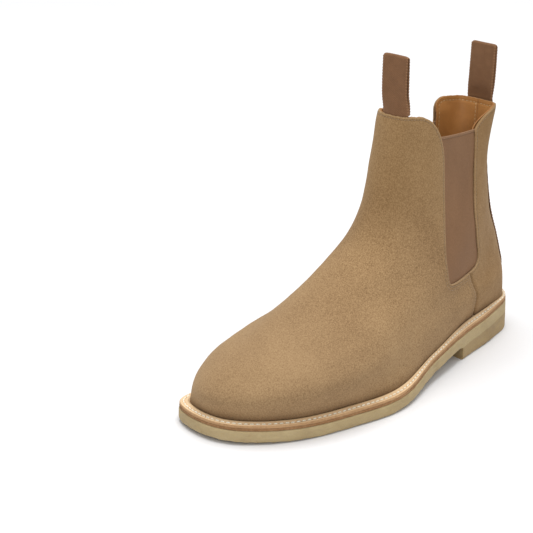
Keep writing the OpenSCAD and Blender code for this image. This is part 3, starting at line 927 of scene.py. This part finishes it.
# ---------------------------------------------------------------- elastic gores
def gore(side, name, node):
    v = np.concatenate([2.1 + 0.5 * (1 - cos(np.linspace(5, 90, 14))), np.linspace(2.65, 5.59, 46),
                        np.linspace(5.596, 5.69, 16)])
    u = bow((GORE_BEND - v) / (GORE_BEND - 2.08))
    a = sweep_at(75 - (75 - gore_x(GORE_BACK, v, side) + 7) * u, v)
    b = sweep_at(75 + (gore_x(GORE_FRONT, v) - 75 + 7) * u, v)
    s = np.linspace(0, 1, 64)
    t = a[:, None] + (b - a)[:, None] * s
    # the top edge rises to the front on the outer side, and is lower on the inner side
    rise = 0.106 * s - 0.013 if side > 0 else np.full(len(s), -0.09)
    vv = v[:, None] + rise[None] * ease((v - 5) / 0.69)[:, None]
    if side < 0:
        t = 360 - t
    base = layer(t, vv, np.zeros(t.shape))
    hem = np.linalg.norm(base - base[-1:], axis=-1)
    proud = 0.2 * ease((1.7 - hem) / 0.4) - 0.15 * np.exp(-((hem - 1.9) / 0.35) ** 2)
    soft = 0.22 * ripple(base, 30, 71) * ease(hem / 8)
    outer = layer(t, vv, 1.72 - proud + soft * 0.8)
    inner = layer(t, vv, np.full(t.shape, 2.72) + 0.1 * ease((1.7 - hem) / 0.4))
    ob = shell(name, outer, inner, skin_out(t, vv), [ELASTIC, ELASTIC], 0.25, (0,), {"hem_mm": hem})
    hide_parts(node)


gore(1, "gore_lateral_elastic", "gore_lateral")
gore(-1, "gore_medial_elastic", "gore_medial")


# ---------------------------------------------------------------- sewn rows on the upper
def edge_path(which, low, inset, depth=0.0, tail=1.2):
    """A line at a fixed distance inside the free edge of a panel: up one side and along the rim."""
    side = -1 if which == "in" else 1
    v = np.concatenate([np.linspace(low, GORE_LOW - 0.002, 40),
                        GORE_BEND - GORE_CURVE * cos(np.linspace(0.5, 90, 60)) ** (2 / 3),
                        np.linspace(3.26, 5.49, 60), FRONT_BEND + 0.5 * sin(np.linspace(0, 90, 90))])
    v = v[v >= low]
    a = sweep_at(front_edge(v) if which == "front" else rear_edge(v, side), v)
    if which == "front":
        rim = np.linspace(a[-1], 360 - a[-1], 160)[1:-1]
        t = np.concatenate([a, rim, 360 - a[::-1]])
        v = np.concatenate([v, np.full(len(rim), TOP), v[::-1]])
    else:
        rim = np.linspace(a[-1], tail, 60)[1:]
        t = np.concatenate([a, rim])
        t = t if side > 0 else 360 - t
        v = np.concatenate([v, np.full(len(rim), TOP)])
    line = layer(t, v, np.full(t.shape, depth))
    n = skin_out(t, v)
    # evenly spaced, then moved in at right angles to the smoothed line
    run = run_along(line)
    at = np.linspace(0, run[-1], int(run[-1] / 0.6))
    line, n = points_at(at, run, line), unit(points_at(at, run, n))
    way = np.gradient(line, axis=0)
    soft = np.ones(7) / 7
    way = unit(np.stack([np.convolve(np.pad(way[:, k], 3, "edge"), soft, "valid") for k in range(3)], 1))
    inward = unit(np.cross(n, way))
    down = inward[len(inward) // 2 if which == "front" else len(inward) - 4, 2]
    return line - inward * np.sign(down) * inset


def grid_tree(points):
    r, c, _ = points.shape
    return BVHTree.FromPolygons(as_tuples(place(points.reshape(-1, 3))), as_tuples(grid_faces(r, c)))


vamp_tree = grid_tree(vamp_face)
seam_row = edge_path("front", 0.12, 4.3)
seam_ends = [row[:np.argmax(row[:, 2] > SEAM_TOP)] for row in (seam_row, seam_row[::-1])]
sew("vamp_stitching", [(p, vamp_tree) for p in [edge_path("front", 0.12, SEAM_INSET)] + seam_ends],
    SEAM_STITCH, SEAM_THREAD, 0.25, 3)


for which, name, face, seed in (("out", "quarter_lateral_stitching", quarter_out, 4),
                                ("in", "quarter_medial_stitching", quarter_in, 5)):
    sew(name, [(edge_path(which, 2.72, SEAM_INSET, 0.0, 22.0), grid_tree(face))], SEAM_STITCH, SEAM_THREAD, 0.25,
        seed)


def lining_rows(name, rows, seed):
    sew(name, [(edge_path(which, 3.3, LINING_INSET, 2.7, 1.5), grid_tree(face)) for which, face in rows],
        LINING_STITCH, LINING_THREAD, 0.25, seed)


def back_seam_row():
    """Sewn row beside the back seam, inside the shaft."""
    v = np.linspace(2.7, 5.93, 160)
    return layer(360 - 1.7 / pace(np.zeros(160), v, 1.0), v, np.full(160, 2.7))


lining_rows("lining_front_stitching", [("front", lining_front)], 6)
sew("lining_seam_stitching", [(back_seam_row(), grid_tree(lining_in))], LINING_STITCH, LINING_THREAD, 0.25, 12)
lining_rows("lining_rear_stitching", [("out", lining_out), ("in", lining_in)], 7)


# ---------------------------------------------------------------- webbing tabs
WEB_HALF = 10.5


def across(v, side_t, y):
    """Sweep angles where a level line is at offsets y from its end."""
    a = np.linspace(-60, 60, 241)
    p = skin(side_t + a, v)[:, 1]
    mid = skin(side_t, v)[1]
    order = np.argsort(p)
    return side_t + np.interp(y + mid, p[order], a[order])


COLS = 29
Y_COLS = np.linspace(-1, 1, COLS)
Y_COLS = np.sign(Y_COLS) * (1 - (1 - np.abs(Y_COLS)) ** 1.15) * WEB_HALF


def strip(name, stations, nodes):
    """stations: list of (centre points over the width, normals, thickness)."""
    cen, nor, thick = (np.array([s[k] for s in stations]) for k in range(3))
    run = run_along(cen[:, COLS // 2])
    # woven selvedge: the sides step in and out with each pick
    edge = np.sign(Y_COLS) * np.clip((np.abs(Y_COLS) - 9.6) / 0.9, 0, 1)
    cen[..., 1] += edge[None] * 0.22 * np.sin(run * 2 * math.pi / 2.1)[:, None]
    shape = np.minimum(1, (1 - np.abs(np.linspace(-1, 1, COLS)) ** 14) ** 0.5 + 0.02)
    h = thick[:, None] / 2 * shape[None]
    ring = np.concatenate([cen + nor * h[..., None], (cen - nor * h[..., None])[:, ::-1]], 1)
    round_y = np.concatenate([Y_COLS, Y_COLS[::-1]])
    uv = np.stack([np.tile(round_y, (len(run), 1)), np.repeat(run[:, None], 2 * COLS, 1)], -1)
    side = WEB_HALF - np.abs(round_y)
    ob = sweep(name, ring, [WEBBING], closed=False, uv=uv.reshape(-1, 2),
               attrs={"side_mm": np.tile(side, len(run))}, body=None)
    for n in nodes:
        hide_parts(n)
    return ob


def on_skin(v, side_t, depth):
    t = across(v, side_t, Y_COLS)
    vv = np.full(COLS, v)
    return layer(t, vv, np.full(COLS, depth)), skin_out(t, vv)


def loop_line(height, foot, half, radius, step=0.7):
    """Middle line of a loop of webbing, as offsets across and heights: up one side and down the other."""
    h = np.arange(0.0, height - radius, step)
    w = foot + (half - foot) * ease((h - 1.0) / 8.5) + 0.25 * np.sin(h / height * math.pi) ** 2
    a = np.linspace(0, 180, 15)[1:-1]
    over = np.stack([half * cos(a), height - radius + radius * sin(a)], 1)
    return np.concatenate([np.stack([w, h], 1), over, np.stack([-w, h], 1)[::-1]])


def loop_stations(pivot, lean, outward, rim_curve, thick, height):
    """Stations of a standing loop. outward is +1 or -1 along x, and rim_curve the rim's bow over the width."""
    line = loop_line(height, 0.43, 1.15, 1.15)
    c, s = math.cos(math.radians(lean)), math.sin(math.radians(lean))
    pts = np.stack([outward * line[:, 0], line[:, 1]], 1)
    way = np.gradient(pts, axis=0)
    way = way / np.linalg.norm(way, axis=1, keepdims=True)
    nrm = np.stack([way[:, 1], -way[:, 0]], 1) * (1 if outward > 0 else -1)
    out = []
    for (x, z), (nx, nz) in zip(pts, nrm):
        # the rim's bow fades out over the first 16 mm
        up = ease(z / 16.0)
        bowed = rim_curve * (1 - up) + rim_curve.mean() * up
        bowed = bowed + 0.5 * ease(z / 30) * (Y_COLS / WEB_HALF) ** 2 * outward
        px, pz = x * c - z * s, x * s + z * c
        qx, qz = nx * c - nz * s, nx * s + nz * c
        narrow = 1 - 0.05 * max(z - (height - 1.6), 0) ** 2 / 2.6
        drop = 0.5 * (np.abs(Y_COLS) / WEB_HALF) ** 8 * ease((z - height + 4) / 4)
        cen = np.stack([pivot[0] + px + bowed, pivot[1] + Y_COLS * narrow, pivot[2] + pz - drop], 1)
        nor = np.tile([qx, 0, qz], (COLS, 1))
        out.append((cen, nor, thick))
    return out


def rim_bow(side_t):
    return skin(across(TOP, side_t, Y_COLS), TOP)[:, 0] - skin(side_t, TOP)[0]


def front_tab():
    pivot = skin(180.0, TOP) - np.array([2.2, 0, -1.1])
    levels = np.linspace(5.88, 5.995, 9)
    rise = [on_skin(v, 180.0, 2.2 - 0.37) + (0.72,) for v in levels]
    fall = [on_skin(v, 180.0, 2.2 + 0.37) for v in levels[::-1]]
    fall = [(p, -n, 0.72) for p, n in fall]
    mid = loop_stations(pivot, 1.9, 1, rim_bow(180.0), 0.85, 40.9)
    ob = strip("front_webbing", rise + mid + fall, ("front_pull_tab", "front_tab_anchor"))
    p = place(pivot)
    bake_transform(ob)


def rear_tab():
    pivot = skin(0.0, TOP) + np.array([-0.7, 0, 1.1])
    strap_v = np.concatenate([np.linspace(0.13, 5.8, 150), np.linspace(5.82, 5.99, 12)])
    strap = [on_skin(v, 0.0, -0.66 - 0.85 * ease((v - 5.78) / 0.08) + 0.35 * ease((v - 5.94) / 0.05)) + (0.85,)
             for v in strap_v]
    fall = [on_skin(v, 0.0, -0.62) for v in np.linspace(5.99, 5.88, 7)]
    fall = [(p, -n, 0.75) for p, n in fall]
    mid = loop_stations(pivot, 4.0, -1, rim_bow(0.0), 0.85, 39.9)
    ob = strip("rear_webbing", strap + mid + fall, ("rear_pull_tab", "back_strap"))
    p = place(pivot)
    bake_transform(ob)
    return ob


front_tab()
rear_web = rear_tab()


def surface_tree(ob):
    me = ob.data
    return BVHTree.FromPolygons([v.co[:] for v in me.vertices], [p.vertices[:] for p in me.polygons])


def strap_rows():
    rows = []
    for y in (-8.7, 8.7):
        pts = []
        for v in np.linspace(0.2, 5.97, 90):
            t = across(v, 0.0, np.array([y]))
            d = -1.05 - 0.85 * float(ease((v - 5.78) / 0.08))
            pts.append(layer(t, np.array([v]), np.array([d]))[0])
        rows.append((np.array(pts), surface_tree(rear_web)))
    return rows


sew("strap_stitching", strap_rows(), (2.6, 1.9, 0.27), WEB_THREAD, 0.3, 8)

# ---------------------------------------------------------------- welt, midsole and crepe sole
WELT_PROFILE = [(0.95, 2.0), (0.72, 2.35), (0.62, 3.0), (0.72, 3.6), (1.05, 4.05), (1.6, 4.28), (2.2, 4.3),
                (2.7, 4.15), (3.05, 3.85), (3.5, 3.72), (3.95, 3.85), (4.35, 4.2), (4.8, 4.65), (5.35, 5.02),
                (5.95, 5.15), (6.5, 5.0), (6.95, 4.6), (7.3, 4.1), (8.2, 4.0), (10.4, 4.0), (10.4, 2.0),
                (5.0, 2.0)]
WELT_PROFILE = [(d, CREPE_T + h) for d, h in WELT_PROFILE]
welt_pts = ring_sections(WELT_PROFILE, T_RING)
welt_pts[..., 2] += 0.06 * ripple(welt_pts, 19, 81) * (np.array(WELT_PROFILE)[:, 1] > CREPE_T + 2.5)[None]
welt_index = [1, 1, 1, 1] + [0] * 18
welt = sweep("welt_strip", welt_pts, [WELT, WELT_EDGE], True, welt_index)
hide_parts("welt")

groove = ring_sections([(3.45, CREPE_T + 4.0)], np.arange(0, 360.5, 0.5))[:, 0]
thread = sew("welt_thread", [(groove, np.array([0.0, 0.0, 1.0]))], (4.0, 3.2, 0.62), WELT_THREAD, 0.45, 9)
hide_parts("welt_stitching")


def rough_edge(size, seed, amount):
    """Moves the side wall in and out a little, so that a cut edge is never perfectly even."""
    def wobble(pts, prof):
        out = np.zeros_like(pts)
        out[..., :2] = plan_out(np.repeat(T_RING[:, None], pts.shape[1], 1))
        wall = (prof[:, 0] < 2.0).astype(float)[None]
        push = ripple(pts, size, seed) * amount + ripple(pts, size * 0.35, seed + 1) * amount * 0.6
        return pts + out * (push * wall)[..., None]
    return wobble


MID_PROFILE = [(6, 0), (1.2, 0), (0.75, 0.15), (0.55, 0.6), (0.7, 1.0), (0.5, 1.4), (0.72, 1.85), (1.2, 2),
               (6, 2)]
MID_PROFILE = [(d, CREPE_T + h) for d, h in MID_PROFILE]
midsole = slab("midsole_board", MID_PROFILE, MIDSOLE_EDGE, rough_edge(7, 91, 0.10))
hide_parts("midsole")


def crepe_wobble(pts, prof):
    """Crepe edge: slightly wavy wall, and a lower rim nibbled by the trimming wheel."""
    pts = rough_edge(16, 101, 0.12)(pts, prof)
    low = np.clip(1 - prof[:, 1] / 2.5, 0, 1)[None] * (prof[:, 0] < 2.5)[None]
    pts[..., 2] += low * (0.34 + 0.36 * ripple(pts, 6.5, 102) + 0.26 * ripple(pts, 3.4, 103)).clip(0, 1.2)
    # over the heel block the lower edge stays square, so that the two lie flush
    clear = ease((pts[:, 5, 0] - HEEL_LENGTH) / 3)
    for k in (2, 3, 4):
        flat = plan_in(T_RING, np.full(len(T_RING), 0.12))
        pts[:, k, :2] = pts[:, k, :2] * clear[:, None] + flat * (1 - clear)[:, None]
        pts[:, k, 2] = pts[:, k, 2] * clear + (under(flat[:, 0]) + prof[k, 1]) * (1 - clear)
    return pts


CREPE_PROFILE = [(8, 0.0), (3, 0.0), (1.4, 0.08), (0.6, 0.45), (0.2, 1.1), (0.03, 2.2), (0.0, 4.0), (0.04, 6.2),
                 (0.1, CREPE_T - 1), (0.35, CREPE_T - 0.3), (0.9, CREPE_T), (8, CREPE_T)]
outsole = slab("crepe_outsole", CREPE_PROFILE, CREPE, crepe_wobble, 20)
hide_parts("outsole")


HEEL_HOLLOW = 3.3


def heel():
    """Crepe heel block with a hollowed front face."""
    quarter_turn = np.linspace(0, 90, 400)
    reach = float(np.interp(HEEL_LENGTH - 1, plan_in(quarter_turn, np.full(400, 0.35))[:, 0], quarter_turn))
    t = np.concatenate([np.linspace(-reach, 0, 40)[:-1], np.linspace(0, reach, 40)])
    n, half = len(t), 39
    rings = []
    for d, h in [(2.0, 0.0), (1.1, 0.2), (0.5, 0.62), (0.28, 1.2)]:
        rings.append(np.column_stack([plan_in(t, np.full(n, d)), np.full(n, h)]))
    for s in (0.2, 0.4, 0.6, 0.8, 0.93, 1.0):
        q = plan_in(t, np.full(n, 0.3 - 0.15 * s))
        rings.append(np.column_stack([q, 1.2 + (under(q[:, 0]) - 0.8) * s]))
    rings = np.array(rings)
    wave = 0.14 * ripple(rings, 15, 111) + 0.08 * ripple(rings, 5, 112)
    out = plan_out(np.tile(t, (len(rings), 1)))
    rings[..., :2] += out * (wave * np.clip((rings[..., 2] / 1.2), 0, 1))[..., None]
    rings[1:4, :, 2] += (0.16 + 0.18 * ripple(rings[1:4], 6, 113)).clip(0, 0.5)
    cols, last = 17, len(rings) - 1
    w = np.linspace(0, 1, cols)
    hollow = HEEL_HOLLOW * (1 - (2 * w[1:-1] - 1) ** 2)
    ids = np.arange((last + 1) * n).reshape(last + 1, n)
    verts, faces, count = [rings.reshape(-1, 3)], strips(ids[:-1], ids[1:]), ids.size
    # front face, hollowed by a large arc, with its top line laid along the underside of the outsole
    front = np.zeros((last + 1, cols), int)
    for k in range(last + 1):
        line = between(rings[k, 0], rings[k, -1], w)
        line[:, 0] -= hollow + 0.1 * ripple(line, 8, 114)
        if k == last:
            line[:, 2] = under(line[:, 0])
        verts.append(line)
        front[k, 0], front[k, -1] = ids[k, 0], ids[k, -1]
        front[k, 1:-1] = count + np.arange(cols - 2)
        count += cols - 2
    faces += strips(front[:-1], front[1:])
    for k in (0, last):
        grid = np.zeros((half + 1, cols), int)
        grid[0], grid[half] = ids[k, half], front[k]
        for i in range(1, half):
            line = between(rings[k, half - i], rings[k, half + i], w)
            line[:, 0] -= hollow * (i / half) ** 6
            if k:
                line[:, 2] = under(line[:, 0])
            verts.append(line)
            grid[i, 0], grid[i, -1] = ids[k, half - i], ids[k, half + i]
            grid[i, 1:-1] = count + np.arange(cols - 2)
            count += cols - 2
        faces += cap_faces(grid)
    ob = build("crepe_heel", np.concatenate(verts), faces, [HEEL_CREPE])
    bevel = ob.modifiers.new("bevel", "BEVEL")
    bevel.width, bevel.segments, bevel.limit_method, bevel.angle_limit = 0.0005, 2, "ANGLE", math.radians(50)
    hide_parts("heel_block")


heel()


def sock_crown(w):
    """The sock liner dips a little to its middle."""
    return -0.5 * ease(np.minimum(w, 1 - w) * 2 * 1.6)


SOCK_PROFILE = [(20, 3.05), (15.2, 3.05), (14.7, 3.25), (14.5, 3.7), (14.7, 4.1), (15.4, 4.4),
                (17, 4.4), (20, 4.25)]
SOCK_PROFILE = [(d, STACK + h) for d, h in SOCK_PROFILE]
sock = slab("sock_liner_leather", SOCK_PROFILE, LINING, cap_cols=18, top_fn=sock_crown)
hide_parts("sock_liner")

# ---------------------------------------------------------------- stage, light and camera
scene = bpy.context.scene
floor_mesh = bpy.data.meshes.new("floor")
floor_mesh.from_pydata([(-8, -8, 0), (8, -8, 0), (8, 8, 0), (-8, 8, 0)], [], [(0, 1, 2, 3)])
floor = bpy.data.objects.new("floor", floor_mesh)
scene.collection.objects.link(floor)
ground = Finish("floor_paper", 0.9, 0.1)
tone = ground.noise(ground.coord(), 3.0, 2.0)
paper = ground.ramp(tone, (0.3, (0.75, 0.75, 0.76, 1)), (0.7, (0.77, 0.77, 0.78, 1)))
floor_mesh.materials.append(ground.done(paper))

world = bpy.data.worlds.new("studio")
world.use_nodes = True
world.node_tree.nodes["Background"].inputs["Color"].default_value = (1.0, 1.0, 1.0, 1.0)
world.node_tree.nodes["Background"].inputs["Strength"].default_value = 0.70
scene.world = world


def area(name, where, target, size, power):
    data = bpy.data.lights.new(name, "AREA")
    data.shape, data.size, data.energy = "DISK", size, power
    ob = bpy.data.objects.new(name, data)
    ob.location = where
    ob.rotation_euler = (Vector(target) - Vector(where)).to_track_quat("-Z", "Y").to_euler()
    scene.collection.objects.link(ob)


area("key", (-0.05, -0.05, 2.4), (0.0, 0.0, 0.05), 1.8, 50)
area("fill", (1.5, 1.4, 1.1), (0.0, 0.0, 0.08), 1.0, 8)

YAW, PITCH = math.radians(38.8), math.radians(20.945)
camera_data = bpy.data.cameras.new("camera")
camera_data.sensor_width = 36.0
camera_data.lens = 2600 / 533 * camera_data.sensor_width
camera_data.clip_start, camera_data.clip_end = 0.05, 50
camera = bpy.data.objects.new("camera", camera_data)
camera.location = (1.3545, 1.0012, 0.727)
look = Vector((-math.cos(PITCH) * math.cos(YAW), -math.cos(PITCH) * math.sin(YAW), -math.sin(PITCH)))
camera.rotation_mode = "QUATERNION"
camera.rotation_quaternion = look.to_track_quat("-Z", "Y")
scene.collection.objects.link(camera)
scene.camera = camera
scene.view_settings.view_transform = "Standard"
